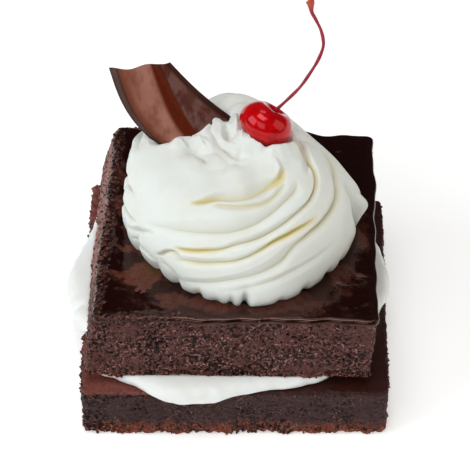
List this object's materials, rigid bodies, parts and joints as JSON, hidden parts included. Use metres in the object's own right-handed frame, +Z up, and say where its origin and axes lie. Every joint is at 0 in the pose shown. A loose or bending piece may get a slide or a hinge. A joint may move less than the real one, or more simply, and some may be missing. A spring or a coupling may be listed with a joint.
{
  "type": "chocolate brownie",
  "caption": "Square chocolate brownies stacked with whipped cream between, glazed on top, with a piped cream swirl, a chocolate curl and a stemmed cherry; a plated dessert.",
  "frame": {"origin": "centre of the lower brownie's flat underside", "axes": "+Z up, -Y towards the front cut side, +X to the right seen from the front"},
  "size_m": [0.0981, 0.0949, 0.1085],
  "materials": {
    "brownie_crumb": "matt, open crumb",
    "whipped_cream": "soft satin",
    "dark_chocolate": "glossy",
    "cherry_flesh": "wet gloss",
    "cherry_stem": "satin"
  },
  "bodies": {
    "root": {"brownie_lower": "brownie_crumb", "cream_filling": "whipped_cream", "brownie_upper": "brownie_crumb", "cream_swirl": "whipped_cream", "chocolate_curl": "dark_chocolate", "cherry": "cherry_flesh", "cherry_stem": "cherry_stem"}
  },
  "joints": []
}
